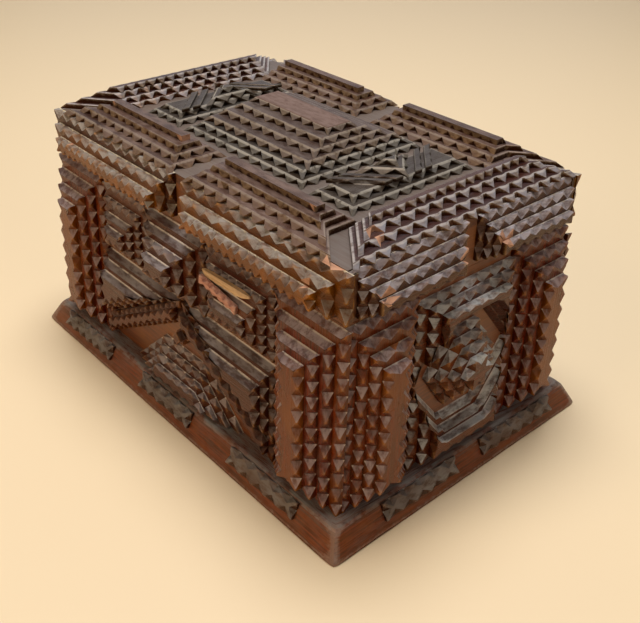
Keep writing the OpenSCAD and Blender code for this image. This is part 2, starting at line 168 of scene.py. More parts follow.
def thinnest(outline):
    """The shortest way across a plate, square in from the middle m of an edge to another edge p + s e:
    m + t n = p + s e, so t = cross(p - m, e) / cross(n, e) and s = cross(p - m, n) / cross(n, e)."""
    along, inward, length = edge_directions(outline)
    run = along * length[:, None]
    gap = outline[None] - (outline + run / 2)[:, None]
    facing = cross(inward[:, None], run[None])
    facing = np.where(np.abs(facing) < 1e-6, np.nan, facing)
    reach = cross(gap, run[None]) / facing
    place = cross(gap, inward[:, None]) / facing
    return reach[(reach > 1e-3) & (place >= 0) & (place <= 1)].min()


def square_on(points, edge, outline):
    """Each point moved square on to its own edge of another outline, and kept between that edge's ends."""
    along, _, length = edge_directions(outline)
    place = np.clip(((points - outline[edge]) * along[edge]).sum(1), 0, length[edge])
    return outline[edge] + along[edge] * place[:, None]


def ring_quads(first, last, amount):
    """The quads between neighbouring rings of points, from the first ring to the last: k n + i, k n + i + 1,
    (k + 1) n + i + 1, (k + 1) n + i."""
    here = np.arange(amount)
    there = np.roll(here, -1)
    row = amount * np.arange(first, last)[:, None]
    quads = np.stack([row + here, row + there, row + amount + there, row + amount + here], 2)
    return quads.reshape(-1, 4).tolist()


# Carved layers

def carved_rim(outline, carved, depth, pitch, random, blunt, gap):
    """Points along the rim of a plate in order. On a notched edge they go tip, root, tip, root; a root lies
    one notch depth inside the edge line, a worn tip a little inside it. A sloping edge lies inside all along,
    and a plain one is upright. Blunt is the share of the pitch that each tip keeps as a flat end, and gap the
    share that each root is wide. A row keeps depth / tan(half the corner's angle) - pitch / 2 clear of a
    corner, so that the first roots of two edges stay apart.
    Gives the rim on the face, the edge line below it, the place along each edge, and which are roots."""
    along, inward, length = edge_directions(outline)
    before = np.roll(along, 1, 0)
    turn = np.arccos(np.clip((before * along).sum(1), -1, 1))
    land = np.maximum(CORNER_LAND, depth / np.tan((np.pi - turn) / 2) - pitch / 2 + ROOTS_APART)
    land = np.where(cross(before, along) < 0, CORNER_LAND, land)
    roots = [0.5 - gap / 2, 0.5 + gap / 2] if gap else [0.5]
    beats = np.array([blunt / 2, *roots, 1 - blunt / 2] if blunt else [0.0, *roots])
    face, line, share, root = [], [], [], []
    for i in range(len(outline)):
        place = np.zeros(1)
        drop = np.zeros(1)
        low = np.zeros(1, bool)
        run = length[i] - land[i] - land[(i + 1) % len(outline)]
        count = int(np.floor(run / pitch + 0.5)) if carved[i] == NOTCHED else 0
        if carved[i] == SLOPING:
            place = np.array([0.0, SLOPE_END, length[i] - SLOPE_END])
            drop = np.array([0.0, SLOPE_IN, SLOPE_IN]) * depth
            low = drop > 0
        if count > 0:
            step = run / count
            marks = land[i] + np.append((np.arange(count)[:, None] + beats).ravel(), count) * step
            low_marks = np.append(np.tile(np.isin(beats, roots), count), False)
            amount = len(marks)
            marks[1:-1] += random.normal(0, MARK_WANDER * step, amount - 2)
            cut = np.where(low_marks, depth * random.normal(1.0, ROOT_WANDER, amount),
                           np.abs(random.normal(0, TIP_WEAR, amount)))
            broken = ~low_marks & (random.random(amount) < BROKEN_TIPS)
            cut += np.where(broken, random.uniform(*BREAK, amount), 0)
            place = np.concatenate([place, marks])
            drop = np.concatenate([drop, cut])
            low = np.concatenate([low, low_marks])
        face.append(outline[i] + along[i] * place[:, None] + inward[i] * drop[:, None])
        line.append(outline[i] + along[i] * place[:, None])
        share.append(np.stack([np.full(len(place), float(i)), place / length[i]], 1))
        root.append(low)
    return np.concatenate(face), np.concatenate(line), np.concatenate(share), np.concatenate(root)


def carved_plate(outline, carved, base, random, bare=0.0, thickness=LAYER, spacing=1.0, golden=False,
                 undercut=False, blunt=0.0, gap=0.0):
    """One chip-carved plate. Four rings follow the rim: the straight edge line on the back, the notched rim
    just under the face, the same rim on the face past a fine arris, and a plain ring inside the notches.
    Each notch is two triangles that share the valley from its root on the face to the edge line on the back.
    An undercut plate has the notched rim on its back and a straight lip on its face, so its teeth slope down
    from the lip as flat triangles, and its other edges are upright. Wide roots also cut into the lip.
    The plate's values are wear with painted glints, grime with painted shade, tone and rise on its points,
    and how bare its face is."""
    thin = thinnest(outline)
    depth = min(NOTCH_DEPTH, NOTCH_SHARE * thin)
    margin = min(depth * 1.18 + 0.5, RING_SHARE * thin)
    pitch = TOOTH_PITCH * spacing * random.uniform(*PITCH_SPREAD)
    tilt = np.radians(random.normal(0, PLATE_TURN))
    middle = outline.mean(0)
    spin = np.array([[np.cos(tilt), -np.sin(tilt)], [np.sin(tilt), np.cos(tilt)]])
    outline = (outline - middle) @ spin.T + middle + random.normal(0, PLATE_SLIP, 2)
    rim, line, share, root = carved_rim(outline, carved, depth, pitch, random, blunt, gap)
    plain = inset(outline, np.full(len(outline), margin))
    edge = share[:, 0].astype(int)
    spread = plain[edge] + (np.roll(plain, -1, 0) - plain)[edge] * share[:, 1:]
    inner = 0.97 * square_on(line, edge, plain) + 0.03 * spread
    foot, lip = line, rim
    if undercut:
        notched = np.asarray(carved) == NOTCHED
        foot = np.where(notched[edge][:, None], rim, line)
        lip = square_on(line, edge, inset(outline, LIP * depth * notched))
        if gap:
            cut_lip = square_on(line, edge, inset(outline, CUT_LIP * depth * notched))
            lip = np.where(root[:, None], cut_lip, lip)
    reach = np.linalg.norm(inner - lip, axis=1, keepdims=True)
    arris = lip + (inner - lip) * np.minimum(0.4, ARRIS * 1.3 / np.maximum(reach, 0.01))
    n = len(rim)
    top = base + thickness

    def at_height(points, height):
        """Points of the plane at one height."""
        return np.column_stack([points, np.full(n, height)])

    points = np.concatenate([at_height(foot, base - GLUE), at_height(lip, top - ARRIS),
                             at_height(arris, top), at_height(inner, top)])
    here = np.arange(n)
    there = np.roll(here, -1)
    to_root = (root[there] != undercut)[:, None]
    first = np.where(to_root, np.stack([here, there, n + here], 1), np.stack([here, there, n + there], 1))
    second = np.where(to_root, np.stack([there, n + there, n + here], 1),
                      np.stack([here, n + there, n + here], 1))
    faces = [*first.tolist(), *second.tolist(), *ring_quads(1, 3, n), (3 * n + here).tolist(),
             here[::-1].tolist()]

    span = np.ptp(outline, axis=0)
    flat = points[:, :2] if span[0] >= span[1] else points[:, 1::-1]
    grain = np.column_stack([flat, points[:, 2]]) + random.uniform(-400, 400, 3)
    # Tone leans the stain to ochre at random; a golden outer plate is pushed to ochre, stain and painted warm
    # bounce light.
    tone = max(random.random() * 0.75, 0.95 * golden)
    # Wear is varnish rubbed off the tips together with painted glints on them, strongest at the tips and the
    # arris.
    tip = np.where(root, 0.25, 1.0)
    even = np.ones(n)
    # Grime values, dirt and painted shade: darkest at the notch roots and along the plate's foot, and on an
    # undercut plate also over its lip; a little on the plain face.
    if undercut:
        wear = [0.9 * tip, 0.9 * even, 0.75 * even, 0 * even]
        grime = [np.where(root, 1.0, 0.2), 0.75 * even, 0 * even, 0.15 * even]
        rise = [1.0, 0.0, 0.0, 1.0]
    else:
        wear = [0.2 * tip, tip, 0.85 * tip, 0 * even]
        grime = [0.9 * even, np.where(root, 1.0, 0.0), np.where(root, 0.8, 0.0), 0.15 * even]
        rise = [0.0, 1.0, 1.0, 1.0]
    rubbed_bare = np.zeros(len(faces))
    rubbed_bare[2 * n:-1] = bare
    return {"points": points, "faces": faces, "grain": grain, "wear": np.concatenate(wear),
            "grime": np.concatenate(grime), "tone": np.full(4 * n, tone), "rise": np.repeat(rise, n),
            "bare": rubbed_bare}


def stack_plates(outline, steps, layers, random, first, bare_top, thickness, spacings, golden, **cut):
    """Layers of one stack, each set back from the one below by its steps; an edge with no step is left plain,
    and one with a negative step slopes. A golden stack's outer plate is the least darkened one: ochre stain
    with painted warm bounce light."""
    steps = np.asarray(steps, float)
    edges = np.where(steps > 0, NOTCHED, np.where(steps < 0, SLOPING, PLAIN))
    plates = []
    for i in range(layers):
        outer = i == layers - 1
        base = (first + i) * (thickness + GLUE)
        plates.append(carved_plate(inset(outline, np.abs(steps) * i), edges, base, random, bare_top * outer,
                                   thickness, spacings[i], golden and outer, **cut))
    return plates


# Chips that show raw wood: place in millimetres, and how far the chip reaches
CHIPS = np.array([
    [116, -100, 150, 4], [127, -87, 160, 5], [92, -70, 173, 3], [124, -62, 165, 5], [146, -80, 156, 5],
    [146, -70, 147, 5], [146, 18, 146, 5], [146, -13, 147, 5], [-94, -70, 173, 3], [36, -15, 174, 3],
    [18, -70, 173, 3], [-22, -70, 173, 3], [-107, -100, 150, 4], [-20, -100, 136, 4], [20, -100, 135, 3],
    [139, -97, 133, 4], [103, -100, 112, 3], [141, -62, 113, 4], [-146, 60, 150, 4], [-146, -30, 147, 3],
    [-116, 100, 149, 4], [40, 100, 136, 4], [104, 68, 172, 3], [-60, 70, 172, 3],
])
# Only a facet smaller than this, in square millimetres, breaks off
CHIP_AREA = 16


def chipped(centres, random):
    """1 for a facet whose middle lies within a chip's reach, or 0, with a ragged limit."""
    gap = np.linalg.norm(centres[:, None] - CHIPS[None, :, :3], axis=2) / CHIPS[None, :, 3]
    return (gap.min(1) + random.normal(0, 0.12, len(centres)) < 1).astype(float)


def make_piece(name, plates, directions, origin, material, body, nodes):
    """Joins the plates into one mesh at origin + u along + v up + w out, in metres, and says what it rides
    on. The plates' own values go on its points; how far a face looks up and how raw it is go on its faces."""
    def joined(key):
        """One value of all the plates."""
        return np.concatenate([plate[key] for plate in plates])

    starts = np.cumsum([0] + [len(plate["points"]) for plate in plates]).tolist()
    place = origin + joined("points") @ directions
    faces = [[start + index for index in face]
             for start, plate in zip(starts, plates) for face in plate["faces"]]
    mesh = bpy.data.meshes.new(name)
    mesh.from_pydata((place * MM).tolist(), [], faces)
    mesh.update()

    def on_polygons(key, width):
        """One value of all the faces."""
        values = np.zeros(width * len(faces), np.float32)
        mesh.polygons.foreach_get(key, values)
        return values.reshape(-1, width)

    small = on_polygons("area", 1)[:, 0] / MM ** 2 < CHIP_AREA
    raw = chipped(on_polygons("center", 3) / MM, seeded(name + " chips")) * small
    on_faces = {"up": on_polygons("normal", 3)[:, 2], "bare": np.maximum(raw, joined("bare"))}
    on_points = {key: joined(key) for key in ("wear", "grime", "tone", "rise")}
    for domain, values in (("FACE", on_faces), ("POINT", on_points)):
        for key, value in values.items():
            layer = mesh.attributes.new(key, "FLOAT", domain)
            layer.data.foreach_set("value", np.ascontiguousarray(value, np.float32))
    layer = mesh.attributes.new("grain", "FLOAT_VECTOR", "POINT")
    layer.data.foreach_set("vector", joined("grain").astype(np.float32).ravel())
    mesh.materials.append(material)
    piece = bpy.data.objects.new(name, mesh)
    bpy.context.collection.objects.link(piece)
    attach(piece, body)
    if nodes:
        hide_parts(*nodes)


def carve(node, face, stacks, material, body="case", slot="carved_wood", bare_top=0.0, extra=(),
          spacings=EVEN, golden=False, thickness=None, **cut):
    """Dresses one CAD node: stacks lists an outline, its steps, its layers and its first level, extra holds
    ready plates, spacings gives each layer's share of the tooth pitch, and cut is how the teeth are cut."""
    random = seeded(node)
    undercut = face == "top"
    thickness = thickness or (TOP_LAYER if undercut else LAYER)
    plates = []
    for outline, steps, layers, first in stacks:
        plates += stack_plates(outline, steps, layers, random, first, bare_top, thickness, spacings, golden,
                               undercut=undercut, **cut)
    origin = FACES[face][2] * (face_plane(face) + GLUE)
    make_piece(node.replace("_", "-"), [*plates, *extra], FACES[face], origin, material, body, [node])


# Materials

def colour(code):
    """A colour written as six hex digits, as linear red, green, blue and alpha."""
    value = np.array([int(code[i:i + 2], 16) for i in (0, 2, 4)]) / 255
    linear = np.where(value <= 0.04045, value / 12.92, ((value + 0.055) / 1.055) ** 2.4)
    return (*linear.tolist(), 1.0)


def fill(tree, socket, value):
    """Links a socket to another one, or gives it a plain value."""
    if isinstance(value, bpy.types.NodeSocket):
        tree.links.new(value, socket)
    else:
        socket.default_value = value


def put(tree, kind, inputs=None, **settings):
    """Adds a node, sets its properties, and fills its inputs with values or links."""
    node = tree.nodes.new(kind)
    for key, value in settings.items():
        setattr(node, key, value)
    for key, value in (inputs or {}).items():
        fill(tree, node.inputs[key], value)
    return node


def math(tree, operation, a, b=0.0, c=0.0):
    """One arithmetic node."""
    return put(tree, "ShaderNodeMath", {0: a, 1: b, 2: c}, operation=operation).outputs[0]


def product(tree, *factors):
    """All the factors multiplied together, in order."""
    total = factors[0]
    for factor in factors[1:]:
        total = math(tree, "MULTIPLY", total, factor)
    return total


def blend(tree, share, a, b):
    """Two colours mixed by a share."""
    return put(tree, "ShaderNodeMix", {0: share, 6: a, 7: b}, data_type="RGBA").outputs[2]


def ramp(tree, value, low, high):
    """A smooth step from 0 at low to 1 at high."""
    node = put(tree, "ShaderNodeMapRange", {"Value": value, "From Min": low, "From Max": high},
               interpolation_type="SMOOTHSTEP")
    return node.outputs["Result"]


def stretched_noise(tree, vector, scale, detail, roughness=0.55):
    """Noise on coordinates that are scaled by their own factor along each axis."""
    moved = put(tree, "ShaderNodeVectorMath", {0: vector, 1: scale}, operation="MULTIPLY")
    return put(tree, "ShaderNodeTexNoise", {"Vector": moved.outputs[0], "Scale": 1.0, "Detail": detail,
                                            "Roughness": roughness}).outputs["Fac"]


def new_group(name, inputs, outputs):
    """An empty shader node group whose sockets are given as names with their kinds, and its ends."""
    group = bpy.data.node_groups.new(name, "ShaderNodeTree")
    for way, sockets in (("INPUT", inputs), ("OUTPUT", outputs)):
        for label, kind in sockets.items():
            group.interface.new_socket(label, in_out=way, socket_type="NodeSocket" + kind)
    start = group.nodes.new("NodeGroupInput")
    end = group.nodes.new("NodeGroupOutput")
    return group, start.outputs, end.inputs


def grain_group():
    """Wood grain: fine streaks along the first coordinate, millimetres in, over broad blotches of stain."""
    group, given, out = new_group("stained grain", {
        "Grain": "Vector", "Tone": "Float", "Dark": "Color", "Warm": "Color", "Ochre": "Color"},
        {"Color": "Color", "Streak": "Float", "Blotch": "Float"})
    streak = stretched_noise(group, given["Grain"], (0.035, 0.75, 0.75), 4.0, 0.6)
    blotch = stretched_noise(group, given["Grain"], (0.045, 0.07, 0.07), 2.0)
    stain = blend(group, ramp(group, streak, 0.32, 0.7), given["Dark"], given["Warm"])
    patchy = math(group, "MULTIPLY_ADD", ramp(group, blotch, 0.38, 0.7), 0.55, 0.35)
    share = product(group, patchy, ramp(group, given["Tone"], 0.15, 1.0))
    group.links.new(blend(group, share, stain, given["Ochre"]), out["Color"])
    group.links.new(streak, out["Streak"])
    group.links.new(blotch, out["Blotch"])
    return group


def age_group():
    """Age and painted light on carved wood: dirt and painted shade in the notches, varnish rubbed off the
    tips with painted glints, raw wood in breaks, dust with painted sheen on what faces up, and a light line
    at the back of a ledge, partly dust and wear and partly painted highlight. Each mask is its given value,
    pushed through noise."""
    group, given, out = new_group("handled and dusty", {
        "Color": "Color", "Grain": "Vector", "Wear": "Float", "Grime": "Float", "Bare": "Float",
        "Up": "Float", "Rise": "Float", "Line": "Color", "Line Amount": "Float", "Rubbed And Glint": "Color",
        "Dirt And Shade": "Color", "Raw": "Color", "Dust": "Color", "Dust And Sheen Amount": "Float", "Dust And Sheen Low": "Float",
        "Dust And Sheen High": "Float", "Flat Dust And Sheen": "Float"},
        {"Color": "Color", "Dust And Sheen Mask": "Float", "Bare Mask": "Float"})
    fine = stretched_noise(group, given["Grain"], (0.35, 0.6, 0.6), 3.0)
    broad = stretched_noise(group, given["Grain"], (0.03, 0.05, 0.05), 2.0)
    mottle = stretched_noise(group, given["Grain"], (0.12, 0.3, 0.3), 4.0, 0.65)
    # Dirt and painted shade, darkening the notches by the grime value.
    dirt_and_shade = product(group, given["Grime"], ramp(group, fine, 0.2, 0.75), 0.75)
    dirty_and_shaded = blend(group, dirt_and_shade, given["Color"], given["Dirt And Shade"])
    # Rubbed tips: varnish worn off, and painted glints on the tips and arrises.
    rub_and_glint = ramp(group, math(group, "ADD", given["Wear"], math(group, "SUBTRACT", fine, 0.5)), 0.55, 1.1)
    rubbed = blend(group, product(group, rub_and_glint, 0.5), dirty_and_shaded, given["Rubbed And Glint"])
    # Dust and painted sheen on what faces up, held back on level faces by the flat share.
    cleared_level_faces = product(group, ramp(group, given["Up"], 0.85, 0.97),
                    math(group, "SUBTRACT", 1.0, given["Flat Dust And Sheen"]))
    facing = product(group, ramp(group, given["Up"], given["Dust And Sheen Low"], given["Dust And Sheen High"]),
                     math(group, "SUBTRACT", 1.0, cleared_level_faces))
    lying = product(group, facing, ramp(group, broad, 0.1, 0.7))
    speck = math(group, "MULTIPLY_ADD", ramp(group, mottle, 0.34, 0.6), 0.72, 0.28)
    # The dust colour laid here is dust with a painted sheen on it.
    dust = product(group, lying, speck, given["Dust And Sheen Amount"])
    dusty = blend(group, dust, rubbed, given["Dust"])
    # A light line at the back of a ledge: dust and wear, and a painted highlight.
    ledge = product(group, ramp(group, given["Up"], 0.3, 0.5), ramp(group, given["Rise"], 0.26, 0.1))
    line = product(group, ledge, ramp(group, mottle, 0.3, 0.52), given["Line Amount"])
    lined_and_highlighted = blend(group, line, dusty, given["Line"])
    bare = ramp(group, math(group, "MULTIPLY_ADD", fine, 0.5, given["Bare"]), 0.6, 1.0)
    torn = blend(group, product(group, ramp(group, mottle, 0.4, 0.66), 0.4), given["Raw"], given["Color"])
    group.links.new(blend(group, bare, lined_and_highlighted, torn), out["Color"])
    group.links.new(dust, out["Dust And Sheen Mask"])
    group.links.new(bare, out["Bare Mask"])
    return group


STAINED_GRAIN = grain_group()
HANDLED = age_group()


def on_mesh(tree, name, output="Fac"):
    """A value kept on the mesh, or its vector."""
    return put(tree, "ShaderNodeAttribute", attribute_name=name).outputs[output]


def new_material(name, finish):
    """A material with a Principled shader; finish sets the shader's plain sockets."""
    material = bpy.data.materials.new(name)
    material.use_nodes = True
    tree = material.node_tree
    shader = tree.nodes["Principled BSDF"]
    for key, value in finish.items():
        shader.inputs[key].default_value = value
    return material, tree, shader


def carved_wood(name, stains, dirt_and_shade, raw, dust, dust_and_sheen_amount, gloss, dust_and_sheen_range=(0.2, 0.5), ledge_line_and_highlight_amount=0.6,
                flat_dust_and_sheen=1.0):
    """Chip-carved wood: stained grain on the plates' own coordinates, then age with painted light. The stains
    are dark, warm, ochre, rubbed with painted glints, and the ledge line with its painted highlight; gloss is
    the clean roughness. Dust with painted sheen lies where a face looks up by more than its range, and the
    flat share is how much of it is kept on level faces."""
    dark, warm, ochre, rubbed, line = map(colour, stains)
    material, tree, shader = new_material(name, {"Specular IOR Level": 0.4, "Specular Tint": colour("ffac68"),
                                                 "Coat Weight": 0.1, "Coat Roughness": 0.12})
    grain = on_mesh(tree, "grain", "Vector")
    stain = put(tree, "ShaderNodeGroup", {
        "Grain": grain, "Tone": on_mesh(tree, "tone"), "Dark": dark, "Warm": warm, "Ochre": ochre},
        node_tree=STAINED_GRAIN)
    aged = put(tree, "ShaderNodeGroup", {
        "Color": stain.outputs["Color"], "Grain": grain, "Wear": on_mesh(tree, "wear"),
        "Grime": on_mesh(tree, "grime"), "Bare": on_mesh(tree, "bare"), "Up": on_mesh(tree, "up"),
        "Rise": on_mesh(tree, "rise"), "Rubbed And Glint": rubbed, "Line": line, "Line Amount": ledge_line_and_highlight_amount,
        "Dirt And Shade": colour(dirt_and_shade), "Raw": colour(raw), "Dust": colour(dust), "Dust And Sheen Amount": dust_and_sheen_amount,
        "Dust And Sheen Low": dust_and_sheen_range[0], "Dust And Sheen High": dust_and_sheen_range[1], "Flat Dust And Sheen": flat_dust_and_sheen}, node_tree=HANDLED)
    tree.links.new(aged.outputs["Color"], shader.inputs["Base Color"])
    dull = math(tree, "MULTIPLY_ADD", aged.outputs["Dust And Sheen Mask"], 0.2, gloss)
    duller = math(tree, "MULTIPLY_ADD", aged.outputs["Bare Mask"], 0.25, dull)
    uneven = math(tree, "MULTIPLY_ADD", stain.outputs["Blotch"], 0.16, duller)
    tree.links.new(uneven, shader.inputs["Roughness"])
    pores = stretched_noise(tree, grain, (0.25, 2.6, 2.6), 3.0)
    height = math(tree, "MULTIPLY_ADD", pores, 0.6, stain.outputs["Streak"])
    bump = put(tree, "ShaderNodeBump", {"Strength": 0.5, "Distance": 0.0005, "Height": height})
    tree.links.new(bump.outputs["Normal"], shader.inputs["Normal"])
    return material


# In these woods the dust colour is dust with painted sheen: the grey and lilac on up-facing facets stands in
# for reflected light.
CARVED = carved_wood(
    "dark carved wood", ("320a01", "681c02", "723a00", "b47a3c", "ccbea8"), dirt_and_shade="0e0301", raw="c07c4c",
    dust="ac9c98", dust_and_sheen_amount=0.95, dust_and_sheen_range=(0.22, 0.52), ledge_line_and_highlight_amount=0.85, gloss=0.2)
# A darker, redder copy of the carved wood: painted shade for the gable, which lies in shadow.
SHADE_PAINTED_GABLE_WOOD = carved_wood(
    "shaded gable wood", ("260802", "4e1804", "6a3204", "9c6a38", "a08c74"), dirt_and_shade="0e0402", raw="b86c40",
    dust="7a6a62", dust_and_sheen_amount=0.6, dust_and_sheen_range=(0.25, 0.55), ledge_line_and_highlight_amount=0.5, gloss=0.22)
FRONT_CARVED = carved_wood(
    "dusty front carving", ("260803", "481606", "602c06", "b48858", "d8ccb8"), dirt_and_shade="0c0302", raw="c07c4c",
    dust="948c88", dust_and_sheen_amount=1.0, ledge_line_and_highlight_amount=1.0, gloss=0.22)
END_CARVED = carved_wood(
    "dusty end carving", ("280802", "541c04", "7c3c04", "b48858", "ccc4b8"), dirt_and_shade="0c0302", raw="b86444",
    dust="c2c2ba", dust_and_sheen_amount=1.1, ledge_line_and_highlight_amount=0.9, gloss=0.2)
# The golden fascia of the long sides is ochre stain with painted warm bounce light; the dull fascia of the
# ends is a darker copy painted as less lit.
FASCIA = carved_wood(
    "golden fascia wood", ("200800", "441800", "905200", "c08438", "d6c6a2"), dirt_and_shade="100401", raw="bc8e70",
    dust="90887c", dust_and_sheen_amount=1.3, ledge_line_and_highlight_amount=0.9, gloss=0.2)
DULL_FASCIA = carved_wood(
    "dull fascia wood", ("1c0802", "3c1504", "5a2e08", "a88458", "c8bca8"), dirt_and_shade="0c0302", raw="bc8e70",
    dust="a09896", dust_and_sheen_amount=1.1, ledge_line_and_highlight_amount=0.9, gloss=0.2)
LID_EDGE = carved_wood(
    "dusty lid edging", ("160502", "301004", "4c2406", "a08462", "a89c8c"), dirt_and_shade="0a0302", raw="bc8e70",
    dust="6c5a50", dust_and_sheen_amount=1.0, dust_and_sheen_range=(0.3, 0.62), ledge_line_and_highlight_amount=0.35, gloss=0.26)
# Level treads keep little dust, so the sloping facets stand out lighter: dust with painted sheen on the
# facets.
LID_END = carved_wood(
    "grey lid end", ("1e0703", "3a140a", "4e260c", "b09878", "c0b8ae"), dirt_and_shade="0a0302", raw="bc8e70",
    dust="908d90", dust_and_sheen_amount=1.0, dust_and_sheen_range=(0.3, 0.6), gloss=0.22, flat_dust_and_sheen=0.12)
LID_MIDDLE = carved_wood(
    "greyed lid carving", ("0e0906", "1c120b", "302414", "908672", "b4ac9a"), dirt_and_shade="080503", raw="c99a6c",
    dust="62605a", dust_and_sheen_amount=0.95, dust_and_sheen_range=(0.3, 0.62), gloss=0.28, flat_dust_and_sheen=0.55)
PYRAMID = carved_wood(
    "rubbed lid panel", ("180904", "30160c", "442814", "988468", "a89a86"), dirt_and_shade="0a0503", raw="705c52",
    dust="665c55", dust_and_sheen_amount=0.95, dust_and_sheen_range=(0.3, 0.62), ledge_line_and_highlight_amount=0.45, gloss=0.3, flat_dust_and_sheen=0.8)
PLINTH_WOOD = carved_wood(
    "plinth wood", ("300f06", "742c0e", "884a0a", "9c8470", "a8a294"), dirt_and_shade="0c0504", raw="b07850",
    dust="84847c", dust_and_sheen_amount=0.95, dust_and_sheen_range=(0.35, 0.8), gloss=0.14)
PLINTH_STRIP = carved_wood(
    "dusty plinth strips", ("1e0e0a", "3c2014", "54341c", "9c8470", "a8a294"), dirt_and_shade="0c0504", raw="b07850",
    dust="747068", dust_and_sheen_amount=1.0, dust_and_sheen_range=(0.15, 0.45), gloss=0.2)
SPLIT_WOOD = carved_wood(
    "freshly split wood", ("b08856", "d8b488", "e4c49c", "ecd2b0", "f0dcc0"), dirt_and_shade="7a4c28", raw="dcb482",
    dust="c0a480", dust_and_sheen_amount=0.2, dust_and_sheen_range=(0.3, 0.9), ledge_line_and_highlight_amount=0.1, gloss=0.5)
PINK_SPLIT = carved_wood(
    "pink split wood", ("9a6450", "c48e7a", "d0a48c", "e0bca4", "e0c4ac"), dirt_and_shade="54281a", raw="cc9c86",
    dust="b8a298", dust_and_sheen_amount=0.4, dust_and_sheen_range=(0.3, 0.8), ledge_line_and_highlight_amount=0.2, gloss=0.45)


DUST_EDGE = 0.3


def board_wood(name, dark, warm, ochre, turn, roughness, dust=None, dust_height=0.0):
    """Plain boards: the same grain on Object coordinates in millimetres, turned about the upright so that it
    runs along the board. Dust, where it is given, lies on the board above a height in millimetres."""
    material, tree, shader = new_material(name, {"Coat Weight": 0.1, "Coat Roughness": 0.35})
    where = put(tree, "ShaderNodeTexCoord").outputs["Object"]
    turned = put(tree, "ShaderNodeMapping", {
        "Vector": where, "Rotation": (0, 0, turn), "Scale": (1 / MM,) * 3})
    stain = put(tree, "ShaderNodeGroup", {
        "Grain": turned.outputs[0], "Tone": 0.6, "Dark": colour(dark), "Warm": colour(warm),
        "Ochre": colour(ochre)}, node_tree=STAINED_GRAIN)
    finish = stain.outputs["Color"]
    if dust:
        height = put(tree, "ShaderNodeSeparateXYZ", {0: where}).outputs["Z"]
        above = ramp(tree, height, (dust_height - DUST_EDGE) * MM, dust_height * MM)
        worn = math(tree, "MULTIPLY_ADD", ramp(tree, stain.outputs["Streak"], 0.3, 0.7), 0.35, 0.55)
        finish = blend(tree, product(tree, above, worn), finish, colour(dust))
    tree.links.new(finish, shader.inputs["Base Color"])
    uneven = math(tree, "MULTIPLY_ADD", stain.outputs["Blotch"], 0.25, roughness)
    tree.links.new(uneven, shader.inputs["Roughness"])
    bump = put(tree, "ShaderNodeBump", {
        "Strength": 0.3, "Distance": 0.0004, "Height": stain.outputs["Streak"]})
    tree.links.new(bump.outputs["Normal"], shader.inputs["Normal"])
    return material


LONG_BOARD = board_wood("case board along", "45190a", "74360f", "8a5418", 0, 0.36)
CROSS_BOARD = board_wood("case board across", "45190a", "74360f", "8a5418", np.pi / 2, 0.36)


def old_metal(name, bright, tarnish, roughness):
    """Old metal: tarnish in blotches that are duller and darker."""
    material, tree, shader = new_material(name, {"Metallic": 1.0})
    where = put(tree, "ShaderNodeTexCoord").outputs["Object"]
    mask = ramp(tree, stretched_noise(tree, where, (600, 600, 600), 4.0), 0.4, 0.65)
    tree.links.new(blend(tree, mask, colour(bright), colour(tarnish)), shader.inputs["Base Color"])
    tree.links.new(math(tree, "MULTIPLY_ADD", mask, 0.3, roughness), shader.inputs["Roughness"])
    return material


BRASS = old_metal("tarnished hinge brass", "9a7a40", "4a3a22", 0.35)
STEEL = old_metal("dull nail steel", "77736c", "3c3834", 0.4)

# Corner stacks of the case, whose steps at the box's corner differ on the ends

PILASTER_FOOT, PILASTER_SIDE, PILASTER_TOP = 4.3, 6.0, 7.6
END_CORNER = 4.57
for face in (*LONG_SIDES, *ENDS):
    long_side = face in LONG_SIDES
    corner, top = (PILASTER_SIDE, -PILASTER_TOP) if long_side else (END_CORNER, PILASTER_TOP)
    for side in ENDS if long_side else LONG_SIDES:
        node = f"{face}_{side}_pilaster"
        low, high = node_box(node, face)
        left, right = (PILASTER_SIDE, corner) if low[0] > 0 else (corner, PILASTER_SIDE)
        steps = (PILASTER_FOOT, right, top, left)
        # Golden outer plates: ochre stain with painted warm bounce light.
        carve(node, face, [(rectangle(low, high), steps, 4, 0)], CARVED, golden=True)

# Front and back panels. A ledged stack's top edge slopes.

